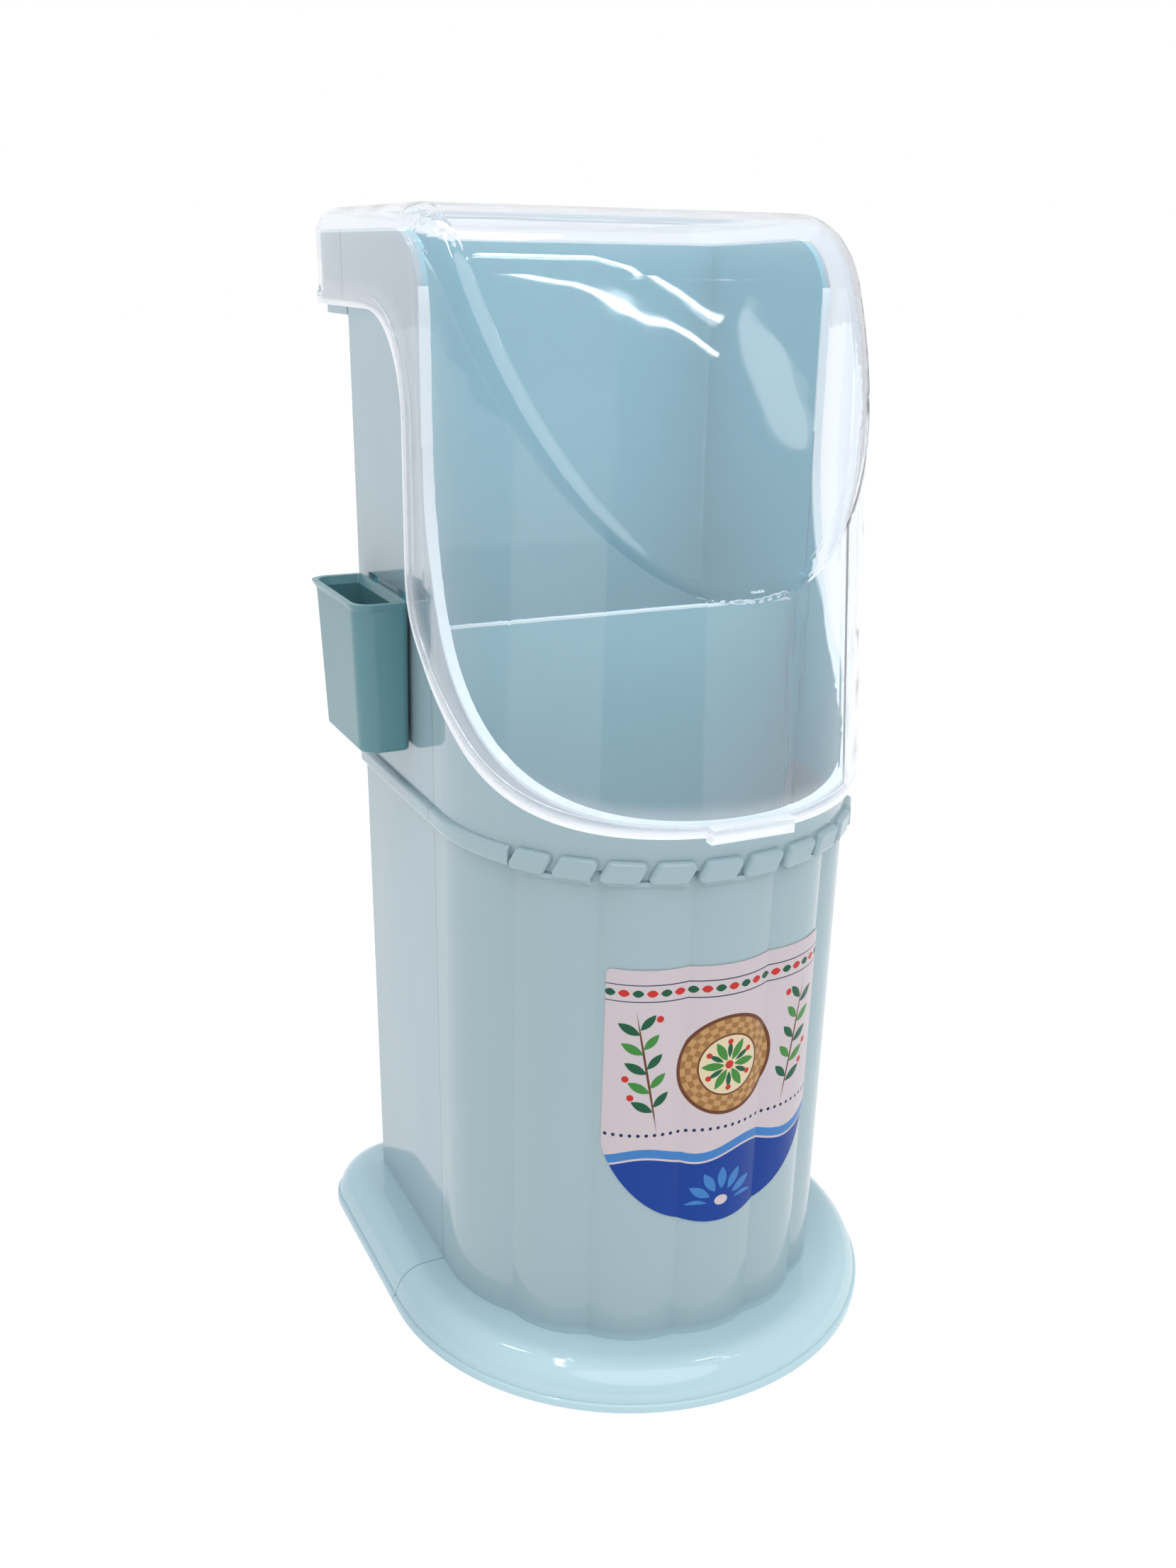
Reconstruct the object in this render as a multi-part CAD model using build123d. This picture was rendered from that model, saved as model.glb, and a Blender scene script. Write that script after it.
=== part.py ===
"""Chopstick holder with flip lid: two moulded shells, a clear hood, a lift-out divider and a hung pocket.

Millimetres, +Z up. The origin lies on the table, in the seam plane between the two shells (Y = 0).
The half-round front faces -Y, the flat back faces +Y.
"""

from build123d import *
from math import cos, hypot, radians, sin, sqrt
import os

# ---------------------------------------------------------------- body shells
WALL = 2.4                    # shell wall
WALL_FOOT_Z = 1.0             # lower end of the upright wall, just off the table
FOOT_HALF_WIDTH = 56.3        # half width of the body where it meets the flange
FOOT_FRONT_DEPTH = 60.0       # seam plane to the front of the body, at the flange
FOOT_REAR_DEPTH = 58.0        # seam plane to the back of the body, at the flange
SIDE_DRAFT = 0.004            # growth of the half width per mm of height
FRONT_DRAFT = 0.0203          # growth of the front depth per mm of height
REAR_DRAFT = 0.018            # growth of the rear depth per mm of height
REAR_CORNER_R = 2.5           # upright rear corners of the body
INNER_CORNER_R = 0.8          # least radius of those corners on the inside
BODY_TOP_Z = 295.4            # top of the rear shell
TOP_FRONT_R = 18.0            # round where the side walls' front edge meets the top

# ---------------------------------------------------------------- flange
FLANGE_TOP_Z = 10.7
FLANGE_OUT = 15.0             # how far the flange stands out from the body
FLANGE_SHOULDER_R = 9.0
FLANGE_CORNER_R = 20.0        # rear corners of the flange in plan
LIP_OUT = 0.8                 # small lip round the lower edge
LIP_HEIGHT = 2.2
LIP_ROUND_R = 0.6

# ---------------------------------------------------------------- flutes and rope band
FLUTE_ANGLE = 24.0            # one flute, measured round the front
FLUTE_COUNT = 5
FLUTE_DEPTH = 1.7             # from crest to valley
BAND_Z = 149.3                # middle of the rope band
BEAD_HEIGHT = 5.2
BEAD_OUT = 1.6
BEAD_ROUND_R = 1.4
LOZENGE_LENGTH = 10.6
LOZENGE_HEIGHT = 5.8
LOZENGE_SLANT = 3.4           # how far the top edge leans to the right
LOZENGE_OUT = 1.9
LOZENGE_CORNER_R = 1.5
LOZENGE_ROUND_R = 1.3
LINE_HEIGHT = 1.2             # thin line under each pair of lozenges
LINE_OUT = 0.8

# ---------------------------------------------------------------- opening of the front shell
RIM_FRONT_Z = 161.0           # lowest point of the U-shaped rim
RIM_TOP_Z = 245.0             # where the rim runs out at the seam
RIM_REACH = 68.0              # half axis of the rim's elliptic side view

# ---------------------------------------------------------------- seam tongue and divider guides
TONGUE_THICKNESS = 1.2
TONGUE_REACH = 4.0            # how far the tongue goes into the front shell
TONGUE_ROOT = 1.6
TONGUE_TOP_Z = 205.0
SEAM_FIT = 0.15
GUIDE_DEPTH = 1.5
GUIDE_THICKNESS = 1.4

# ---------------------------------------------------------------- base pan
PAN_FLOOR = 2.0
PAN_WALL = 1.8
PAN_HEIGHT = 10.5
PAN_FIT = 0.15
SNAP_BEAD_OUT = 0.6
SNAP_BEAD_HEIGHT = 1.6
SNAP_BEAD_Z = 6.0
SNAP_FIT = 0.1
FOOT_R = 14.0                 # flat round foot under the middle of the pan

# ---------------------------------------------------------------- lift-out insert: grate and divider
GRATE_THICKNESS = 2.4
GRATE_SIDE_FIT = 0.4          # to the guide ribs
GRATE_LIFT = 9.0              # legs under the grate
LEG_R = 3.0
LEG_INSET = 14.0              # legs in from the outline
REST_GAP = 0.1                # between a lift-out piece and its seat
HOLE_R = 2.6
HOLE_PITCH = 9.5
HOLE_MARGIN = 4.5
DIVIDER_THICKNESS = 2.0
DIVIDER_Y = 3.6               # middle plane of the divider
DIVIDER_TOP_Z = 199.0
DIVIDER_FIT = 0.3
DIVIDER_CORNER_R = 3.0
TAB_WIDTH = 14.0
TAB_SPACING = 60.0

# ---------------------------------------------------------------- lid
LID_WALL = 1.6
LID_SIDE_GAP = 0.6            # between the body's widest place and the inside of the lid
LID_FRONT_DEPTH = 65.6        # seam plane to the front of the lid, at its lower edge
LID_LEAN = 0.067              # how far the half-round front leans back per mm of height
LID_REAR_Y = 86.5
LID_TOP_Z = 301.5
LID_EDGE_R = 7.0              # rounds between roof, slope and walls, and of the rear corners
ROOF_SLOPE = 1.55             # rise over run of the sloping front
ROOF_BREAK_Y = -6.5           # where slope and roof would meet without their round
ROOF_ROUND_R = 35.0
HOOD_SPARE = 9.0              # how far the untrimmed hood reaches below its lower edge
EDGE_FRONT_Z = 159.0          # lower edge of the lid at the front
EDGE_BEND_Y = -40.4           # where the lower edge begins to climb
EDGE_CLIMB = 0.85             # rise over run of the climbing lower edge
EDGE_BEND_R = 66.0
CHEEK_FOOT_Z = 276.0          # lower edge of the cheeks behind the body
CHEEK_REAR_Y = 10.0           # upright rear edge of the cheeks
CHEEK_LOWER_R = 22.0
CHEEK_UPPER_R = 26.0
RIM_BEAD_WIDTH = 3.4
RIM_BEAD_OUT = 0.5
TAB_GRIP_WIDTH = 23.0
TAB_GRIP_HEIGHT = 4.2
TAB_GRIP_OUT = 2.6
TAB_GRIP_R = 0.9

# ---------------------------------------------------------------- hinge tray and pins
TRAY_FOOT_Z = 273.6           # underside of the tray behind the back wall
TRAY_REAR_GAP = 0.7           # between the tray and the lid's rear wall
PIN_R = 1.6
PIN_FIT = 0.08
PIN_LENGTH = 5.2
PIN_INSET = 3.4               # pin's axis, in from the tray's rear face
PIN_RISE = 3.4                # pin's axis above the lower edge of the cheeks
CHEEK_CORNER_R = 3.0          # rear lower corner of the cheeks
LID_REAR_RISE = 8.0           # lower edge of the lid's rear wall, above the pin's axis
LID_REAR_CUT = 16.0           # depth of the cut that lets the lid swing past the tray

# ---------------------------------------------------------------- side pocket
POCKET_GAP = 0.7              # to the body's side
POCKET_FRONT_Y = 13.5
POCKET_REAR_Y = 54.0
POCKET_BOTTOM_Z = 163.0
POCKET_RIM_Z = 204.0
POCKET_DEPTH = 14.6           # how far the cup stands out at the rim
POCKET_TAPER = 1.6            # less at the bottom, on the outer face and both ends
POCKET_WALL = 1.8
POCKET_CORNER_R = 5.0
POCKET_BACK_R = 1.9
POCKET_LIP_OUT = 1.2
POCKET_LIP_HEIGHT = 2.2
HOOK_WIDTH = 7.0
HOOK_SPACING = 24.0
HOOK_THICKNESS = 2.4
HOOK_DROP = 6.0
HOOK_TOP_Z = 197.0
HOOK_FIT = 0.3
HOOK_LIFT = 8.0

# ---------------------------------------------------------------- label
LABEL_GAP = 0.05
LABEL_THICKNESS = 0.25
LABEL_TOP_Z = 123.0
LABEL_SIDE_Z = 72.0
LABEL_BOTTOM_Z = 46.7
LABEL_HALF_WIDTH = 31.0
LABEL_CORNER_R = 1.5

FAR = 120.0                   # reach of cutting blocks beyond the body

# ---------------------------------------------------------------- derived places
LID_HALF_WIDTH = FOOT_HALF_WIDTH + SIDE_DRAFT * (BODY_TOP_Z - FLANGE_TOP_Z) + LID_SIDE_GAP + LID_WALL
HOOD_FOOT_Z = EDGE_FRONT_Z - HOOD_SPARE
TRAY_REAR_Y = LID_REAR_Y - LID_WALL - TRAY_REAR_GAP
TRAY_CORNER_R = LID_EDGE_R - LID_WALL - LID_SIDE_GAP
PIN_Y = TRAY_REAR_Y - PIN_INSET
PIN_Z = CHEEK_FOOT_Z + PIN_RISE
PAN_FLOOR_TOP_Z = WALL_FOOT_Z + PAN_FLOOR
GRATE_FOOT_Z = PAN_FLOOR_TOP_Z + REST_GAP
GRATE_Z = GRATE_FOOT_Z + GRATE_LIFT
GRATE_TOP_Z = GRATE_Z + GRATE_THICKNESS
GRATE_INSET = WALL + GUIDE_DEPTH + GRATE_SIDE_FIT
ROPE_ANGLE = FLUTE_ANGLE * FLUTE_COUNT / 2


def half_width(z, inset=0.0):
    """Half width of the body at height z, less an inset."""
    return FOOT_HALF_WIDTH + SIDE_DRAFT * (z - FLANGE_TOP_Z) - inset


def rear_depth(z, inset=0.0):
    """Distance from the seam plane to the back of the body at height z."""
    return FOOT_REAR_DEPTH + REAR_DRAFT * (z - FLANGE_TOP_Z) - inset


def front_centre(z):
    """Y of the axis of the half-round front at height z."""
    return half_width(z) - FOOT_FRONT_DEPTH - FRONT_DRAFT * (z - FLANGE_TOP_Z)


def round_point(radius, angle, centre_y):
    """Point at an angle from the front middle, positive towards +X."""
    turn = radians(angle)
    return (radius * sin(turn), centre_y - radius * cos(turn))


def front_curves(radius, centre_y, flute_depth):
    """Arcs of the half-round front from +X to -X: fluted, or one plain half circle."""
    if flute_depth == 0:
        ends = [round_point(radius, angle, centre_y) for angle in (90, 0, -90)]
        return [ThreePointArc(*ends)]
    valleys = [ROPE_ANGLE - FLUTE_ANGLE * i for i in range(FLUTE_COUNT + 1)]
    angles = [90] + valleys + [-90]
    arcs = []
    for first, last in zip(angles, angles[1:]):
        first_r = radius if abs(first) == 90 else radius - flute_depth
        last_r = radius if abs(last) == 90 else radius - flute_depth
        start = round_point(first_r, first, centre_y)
        crest = round_point(radius, (first + last) / 2, centre_y)
        end = round_point(last_r, last, centre_y)
        arcs.append(ThreePointArc(start, crest, end))
    return arcs


def front_face(z, inset=0.0, flute_depth=0.0, back_y=0.0):
    """Half plan in front of the seam plane."""
    w = half_width(z, inset)
    centre_y = front_centre(z)
    edges = [Line((w, back_y), (w, centre_y))]
    edges += front_curves(w, centre_y, flute_depth)
    edges += [Line((-w, centre_y), (-w, back_y)), Line((-w, back_y), (w, back_y))]
    return Pos(0, 0, z) * make_face(edges)


def rear_face(z, inset=0.0, front_y=0.0, corner=REAR_CORNER_R):
    """Half plan behind the seam plane, with rounded rear corners."""
    w = half_width(z, inset)
    y = rear_depth(z, inset)
    r = max(corner - inset, INNER_CORNER_R)
    edges = [
        Line((-w, front_y), (w, front_y)),
        Line((w, front_y), (w, y - r)),
        RadiusArc((w, y - r), (w - r, y), -r),
        Line((w - r, y), (r - w, y)),
        RadiusArc((r - w, y), (-w, y - r), -r),
        Line((-w, y - r), (-w, front_y)),
    ]
    return Pos(0, 0, z) * make_face(edges)


def whole_face(z, inset, flute_depth):
    """Full plan: fluted front and square back in one outline."""
    w = half_width(z, inset)
    y = rear_depth(z, inset)
    r = max(REAR_CORNER_R - inset, INNER_CORNER_R)
    centre_y = front_centre(z)
    edges = front_curves(w, centre_y, flute_depth)
    edges += [
        Line((-w, centre_y), (-w, y - r)),
        RadiusArc((-w, y - r), (r - w, y), r),
        Line((r - w, y), (w - r, y)),
        RadiusArc((w - r, y), (w, y - r), r),
        Line((w, y - r), (w, centre_y)),
    ]
    return Pos(0, 0, z) * make_face(edges)


def between(face_at, low, high, **options):
    """Drafted block between two heights of the same plan."""
    return loft([face_at(low, **options), face_at(high, **options)], ruled=True)


def slab(face_at, low, height, **options):
    """Straight block of a plan, from a height upward."""
    return extrude(face_at(low, **options), height)


def side_prism(edges, reach=FAR):
    """Solid of a side view drawn in Y and Z, as wide as 2 x reach along X."""
    return extrude(Plane.YZ * make_face(edges), reach, both=True)


def outer_rim_edges(solid, z):
    """Edges at a height that belong to the outside, not to the seam plane."""
    flat = solid.edges().filter_by(lambda e: abs(e.center().Z - z) < 0.01)
    flat = flat.filter_by(lambda e: abs(e.bounding_box().size.Z) < 0.01)
    return flat.filter_by(lambda e: abs(e.center().Y) > 0.01)


def flange(face_at, **options):
    """Hollow skirt round one half of the foot, with a rounded shoulder and a lip."""
    outer = slab(face_at, 0, FLANGE_TOP_Z, inset=-FLANGE_OUT, **options)
    outer = fillet(outer_rim_edges(outer, FLANGE_TOP_Z), FLANGE_SHOULDER_R)
    lip = slab(face_at, 0, LIP_HEIGHT, inset=-FLANGE_OUT - LIP_OUT, **options)
    lip = fillet(outer_rim_edges(lip, LIP_HEIGHT), LIP_ROUND_R)
    hollow = slab(face_at, 0, FLANGE_TOP_Z - WALL, inset=WALL - FLANGE_OUT, **options)
    hollow = fillet(outer_rim_edges(hollow, FLANGE_TOP_Z - WALL), FLANGE_SHOULDER_R - WALL)
    return outer + lip - hollow


def band_bead(face_at):
    """Half-round bead that runs round one half of the body."""
    low = BAND_Z - BEAD_HEIGHT / 2
    bead = slab(face_at, low, BEAD_HEIGHT, inset=-BEAD_OUT)
    edges = outer_rim_edges(bead, low) + outer_rim_edges(bead, low + BEAD_HEIGHT)
    return fillet(edges, BEAD_ROUND_R)


def sector(start, end, low, height, radius=FAR):
    """Upright wedge between two angles from the front middle."""
    centre_y = front_centre(BAND_Z)
    corners = [(0, centre_y)] + [round_point(radius, a, centre_y) for a in (start, (start + end) / 2, end)]
    return Pos(0, 0, low) * extrude(make_face(Polyline(*corners, close=True)), height)


def lozenge(angle):
    """Slanted raised leaf of the rope at an angle from the front middle."""
    radius = half_width(BAND_Z)
    x, y = round_point(radius, angle, front_centre(BAND_Z))
    turn = radians(angle)
    wall = Plane(origin=(x, y, BAND_Z), x_dir=(cos(turn), sin(turn), 0), z_dir=(sin(turn), -cos(turn), 0))
    a, h, s = LOZENGE_LENGTH / 2, LOZENGE_HEIGHT / 2, LOZENGE_SLANT / 2
    outline = make_face(Polyline((-a - s, -h), (a - s, -h), (a + s, h), (s - a, h), close=True))
    outline = fillet(outline.vertices(), LOZENGE_CORNER_R)
    leaf = extrude(wall * Pos(0, 0, -WALL / 2) * outline, WALL / 2 + LOZENGE_OUT)
    outer = leaf.faces().sort_by(Axis(wall.origin, wall.z_dir))[-1]
    return fillet(outer.edges(), LOZENGE_ROUND_R)


def rope():
    """Pairs of slanted leaves, one pair to each flute, with a thin line under each pair."""
    pieces = []
    low = BAND_Z - LOZENGE_HEIGHT / 2 - LINE_HEIGHT / 2
    ring = slab(front_face, low, LINE_HEIGHT, inset=-LINE_OUT)
    for i in range(FLUTE_COUNT):
        middle = -ROPE_ANGLE + FLUTE_ANGLE * (i + 0.5)
        pieces += [lozenge(middle - FLUTE_ANGLE / 4), lozenge(middle + FLUTE_ANGLE / 4)]
        pieces.append(ring & sector(middle - FLUTE_ANGLE * 0.42, middle + FLUTE_ANGLE * 0.42, low, LINE_HEIGHT))
    return pieces


def drafted_strip(side, first_inset, last_inset, first_y, last_y, low, high):
    """Upright strip along a side wall that follows its draft."""
    ends = []
    for z in (low, high):
        xs = [side * half_width(z, inset) for inset in (first_inset, last_inset)]
        corners = [(xs[0], first_y), (xs[1], first_y), (xs[1], last_y), (xs[0], last_y)]
        ends.append(Pos(0, 0, z) * make_face(Polyline(*corners, close=True)))
    return loft(ends, ruled=True)


def rim_cut():
    """Everything above the U-shaped rim of the front shell, in side view."""
    rim = EllipticalCenterArc((-RIM_REACH, RIM_TOP_Z), RIM_REACH, RIM_TOP_Z - RIM_FRONT_Z, 270, arc_size=90)
    edges = [
        rim,
        Line((0, RIM_TOP_Z), (0, BODY_TOP_Z + 1)),
        Line((0, BODY_TOP_Z + 1), (-FAR, BODY_TOP_Z + 1)),
        Line((-FAR, BODY_TOP_Z + 1), (-FAR, RIM_FRONT_Z)),
        Line((-FAR, RIM_FRONT_Z), (-RIM_REACH, RIM_FRONT_Z)),
    ]
    return side_prism(edges)


def snap_groove():
    """Groove round the inside of the wall for the base pan's bead."""
    low = SNAP_BEAD_Z - SNAP_FIT
    height = SNAP_BEAD_HEIGHT + 2 * SNAP_FIT
    inset = WALL + PAN_FIT - SNAP_BEAD_OUT - SNAP_FIT
    return slab(whole_face, low, height, inset=inset, flute_depth=FLUTE_DEPTH)


def front_shell():
    body = between(front_face, WALL_FOOT_Z, BAND_Z, flute_depth=FLUTE_DEPTH)
    body += between(front_face, BAND_Z, RIM_TOP_Z)
    body += band_bead(front_face) - sector(-ROPE_ANGLE, ROPE_ANGLE, BAND_Z - BEAD_HEIGHT, 2 * BEAD_HEIGHT)
    body += rope()
    shell = flange(front_face) + body
    shell -= between(front_face, -1, BAND_Z, inset=WALL, flute_depth=FLUTE_DEPTH, back_y=1)
    shell -= between(front_face, BAND_Z, RIM_TOP_Z + 1, inset=WALL, back_y=1)
    return shell - snap_groove() - rim_cut()


def top_front_cut():
    """Corner taken off the side walls where their front edge meets the top."""
    y, z, r = 0, BODY_TOP_Z, TOP_FRONT_R
    edges = [
        RadiusArc((y, z - r), (y + r, z), r),
        Line((y + r, z), (y + r, z + 1)),
        Line((y + r, z + 1), (y - 1, z + 1)),
        Line((y - 1, z + 1), (y - 1, z - r)),
        Line((y - 1, z - r), (y, z - r)),
    ]
    return side_prism(edges)


def tray_face(z, inset=0.0, root=0.0):
    """Plan of the hinge tray, from the back wall to the rounded rear corners."""
    w = half_width(z, inset)
    rear_y = TRAY_REAR_Y - inset
    root_y = rear_depth(z, root)
    plan = make_face(Polyline((-w, root_y), (w, root_y), (w, rear_y), (-w, rear_y), close=True))
    return Pos(0, 0, z) * fillet(plan.vertices().group_by(Axis.Y)[-1], TRAY_CORNER_R - inset)


def hinge_tray():
    """Open tray behind the top of the back wall, with a bore in each end for the lid's pins."""
    tray = between(tray_face, TRAY_FOOT_Z, BODY_TOP_Z, root=WALL / 2)
    tray -= between(tray_face, TRAY_FOOT_Z + WALL, BODY_TOP_Z + 1, inset=WALL)
    bore = Rot(0, 90, 0) * Cylinder(PIN_R + PIN_FIT, 2 * FAR)
    return tray - Pos(0, PIN_Y, PIN_Z) * bore


def hook_places():
    """Y of the two pocket hooks."""
    middle = (POCKET_FRONT_Y + POCKET_REAR_Y) / 2
    return [middle - HOOK_SPACING / 2, middle + HOOK_SPACING / 2]


def pocket_slots():
    """Slots in the left side wall that take the pocket's hooks."""
    low = HOOK_TOP_Z - HOOK_THICKNESS - REST_GAP
    height = HOOK_THICKNESS + HOOK_LIFT + HOOK_FIT + REST_GAP
    slot = Box(4 * WALL, HOOK_WIDTH + 2 * HOOK_FIT, height)
    return [Pos(-half_width(HOOK_TOP_Z), y, low + height / 2) * slot for y in hook_places()]


def rear_shell():
    shell = flange(rear_face, corner=FLANGE_CORNER_R - FLANGE_OUT) + between(rear_face, WALL_FOOT_Z, BODY_TOP_Z)
    shell += band_bead(rear_face)
    shell -= between(rear_face, -1, BODY_TOP_Z + 1, inset=WALL, front_y=-1)
    shell = shell - snap_groove() - top_front_cut()
    front_guide = DIVIDER_Y - DIVIDER_THICKNESS / 2 - DIVIDER_FIT - GUIDE_THICKNESS
    rear_guide = DIVIDER_Y + DIVIDER_THICKNESS / 2 + DIVIDER_FIT
    for side in (-1, 1):
        for y in (front_guide, rear_guide):
            shell += drafted_strip(
                side, WALL / 2, WALL + GUIDE_DEPTH, y, y + GUIDE_THICKNESS, GRATE_TOP_Z, DIVIDER_TOP_Z)
        shell += drafted_strip(
            side, WALL + SEAM_FIT, WALL + SEAM_FIT + TONGUE_THICKNESS, -TONGUE_REACH, TONGUE_ROOT,
            GRATE_TOP_Z, TONGUE_TOP_Z)
        shell += drafted_strip(
            side, WALL / 2, WALL + SEAM_FIT + TONGUE_THICKNESS, 0, TONGUE_ROOT, GRATE_TOP_Z, TONGUE_TOP_Z)
    return shell + hinge_tray() - pocket_slots()


def base_pan():
    """Pan that closes the bottom, catches drips and ties the shells together with its snap bead."""
    outer = WALL + PAN_FIT
    pan = slab(whole_face, WALL_FOOT_Z, PAN_HEIGHT, inset=outer, flute_depth=FLUTE_DEPTH)
    pan += slab(whole_face, SNAP_BEAD_Z, SNAP_BEAD_HEIGHT, inset=outer - SNAP_BEAD_OUT, flute_depth=FLUTE_DEPTH)
    pan -= slab(whole_face, PAN_FLOOR_TOP_Z, PAN_HEIGHT, inset=outer + PAN_WALL, flute_depth=FLUTE_DEPTH)
    return pan + Pos(0, 0, PAN_FLOOR_TOP_Z / 2) * Cylinder(FOOT_R, PAN_FLOOR_TOP_Z)


def leg_places():
    """Middles of the grate's legs: four near the corners and one at the front."""
    x = half_width(GRATE_Z, LEG_INSET)
    rear_y = rear_depth(GRATE_Z, LEG_INSET)
    front_y = front_centre(GRATE_Z)
    return [(x, rear_y), (-x, rear_y), (x, front_y), (-x, front_y), round_point(x, 0, front_y)]


def inside_plan(x, y, margin):
    """True where a point lies inside the grate's outline by more than a margin."""
    w = half_width(GRATE_Z, GRATE_INSET) - margin
    centre_y = front_centre(GRATE_Z)
    if y > centre_y:
        return abs(x) < w and y < rear_depth(GRATE_Z, GRATE_INSET) - margin
    return hypot(x, y - centre_y) < w - FLUTE_DEPTH


def hole_places():
    """Grid of drain holes, clear of the outline, the legs and the divider."""
    half_rows = int(FAR / HOLE_PITCH)
    grid = [
        (i * HOLE_PITCH, DIVIDER_Y + (j + 0.5) * HOLE_PITCH)
        for i in range(-half_rows, half_rows + 1)
        for j in range(-half_rows, half_rows)
    ]
    clear = [p for p in grid if inside_plan(*p, HOLE_MARGIN)]
    return [p for p in clear if all(hypot(p[0] - x, p[1] - y) > LEG_R + HOLE_R + 1 for x, y in leg_places())]


def divider_tabs(fit):
    """Two tongues at the foot of the divider that drop into the grate."""
    tab = Box(TAB_WIDTH + 2 * fit, DIVIDER_THICKNESS + 2 * fit, GRATE_THICKNESS)
    z = GRATE_Z + GRATE_THICKNESS / 2
    return [Pos(x, DIVIDER_Y, z) * tab for x in (-TAB_SPACING / 2, TAB_SPACING / 2)]


def drain_grate():
    """Perforated floor on short legs."""
    plate = slab(whole_face, GRATE_Z, GRATE_THICKNESS, inset=GRATE_INSET, flute_depth=FLUTE_DEPTH)
    holes = Sketch() + [Pos(x, y) * Circle(HOLE_R) for x, y in hole_places()]
    plate -= Pos(0, 0, GRATE_Z - 1) * extrude(holes, GRATE_THICKNESS + 2)
    leg = Cylinder(LEG_R, GRATE_LIFT, align=(Align.CENTER, Align.CENTER, Align.MIN))
    plate += [Pos(x, y, GRATE_FOOT_Z) * leg for x, y in leg_places()]
    return plate - divider_tabs(REST_GAP)


def divider():
    """Upright panel between the front and rear compartments."""
    low, high = GRATE_TOP_Z, DIVIDER_TOP_Z
    low_x = half_width(low, WALL + DIVIDER_FIT)
    high_x = half_width(high, WALL + DIVIDER_FIT)
    outline = make_face(Polyline((-low_x, low), (low_x, low), (high_x, high), (-high_x, high), close=True))
    outline = fillet(outline.vertices().group_by(Axis.Y)[-1], DIVIDER_CORNER_R)
    panel = Pos(0, DIVIDER_Y, 0) * extrude(Plane.XZ * outline, DIVIDER_THICKNESS / 2, both=True)
    return panel + divider_tabs(0)


def hood_plan(z, inset):
    """Plan of the hood at a height: square back, half-round front that leans back."""
    w = LID_HALF_WIDTH - inset
    rear = LID_REAR_Y - inset
    centre_y = LID_HALF_WIDTH - LID_FRONT_DEPTH + LID_LEAN * (z - EDGE_FRONT_Z)
    return Pos(0, 0, z) * make_face([
        Polyline((w, centre_y), (w, rear), (-w, rear), (-w, centre_y)),
        ThreePointArc((-w, centre_y), (0, centre_y - w), (w, centre_y)),
    ])


def smooth_joint(edge):
    """True for a straight line, upright or across, where two faces of the hood run into each other."""
    heading = edge.tangent_at(0.5)
    if edge.geom_type != GeomType.LINE or edge.center().Y > LID_REAR_Y - LID_EDGE_R:
        return False
    return abs(heading.X) > abs(heading.Y) or abs(heading.Z) > abs(heading.Y)


def hood(inset):
    """Solid hood: square back, half-round front, sloping roof and rounded upper edges."""
    block = between(hood_plan, HOOD_FOOT_Z, LID_TOP_Z + 1, inset=inset)
    top = LID_TOP_Z - inset
    break_y = ROOF_BREAK_Y + inset * (sqrt(1 + ROOF_SLOPE ** 2) - 1) / ROOF_SLOPE
    foot_y = break_y - (top - HOOD_FOOT_Z) / ROOF_SLOPE
    side = make_face(Polyline((foot_y, HOOD_FOOT_Z), (break_y, top), (FAR, top), (FAR, HOOD_FOOT_Z), close=True))
    corner = side.vertices().sort_by_distance((break_y, top))[0]
    side = fillet(corner, ROOF_ROUND_R - inset)
    block &= extrude(Plane.YZ * side, FAR, both=True)
    above_foot = block.edges().filter_by(lambda e: e.center().Z > HOOD_FOOT_Z + 1)
    return fillet([e for e in above_foot if not smooth_joint(e)], LID_EDGE_R - inset)


def lid_side_view():
    """Side view of everything above the lid's lower edge."""
    climb_z = EDGE_FRONT_Z + EDGE_CLIMB * (CHEEK_REAR_Y - EDGE_BEND_Y)
    corners = [
        ((-FAR, EDGE_FRONT_Z), 0),
        ((EDGE_BEND_Y, EDGE_FRONT_Z), EDGE_BEND_R),
        ((CHEEK_REAR_Y, climb_z), CHEEK_LOWER_R),
        ((CHEEK_REAR_Y, CHEEK_FOOT_Z), CHEEK_UPPER_R),
        ((LID_REAR_Y, CHEEK_FOOT_Z), CHEEK_CORNER_R),
        ((LID_REAR_Y, LID_TOP_Z + FAR), 0),
        ((-FAR, LID_TOP_Z + FAR), 0),
    ]
    view = make_face(Polyline(*[place for place, _ in corners], close=True))
    for place, radius in corners:
        if radius:
            view = fillet(view.vertices().sort_by_distance(place)[0], radius)
    return view


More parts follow.
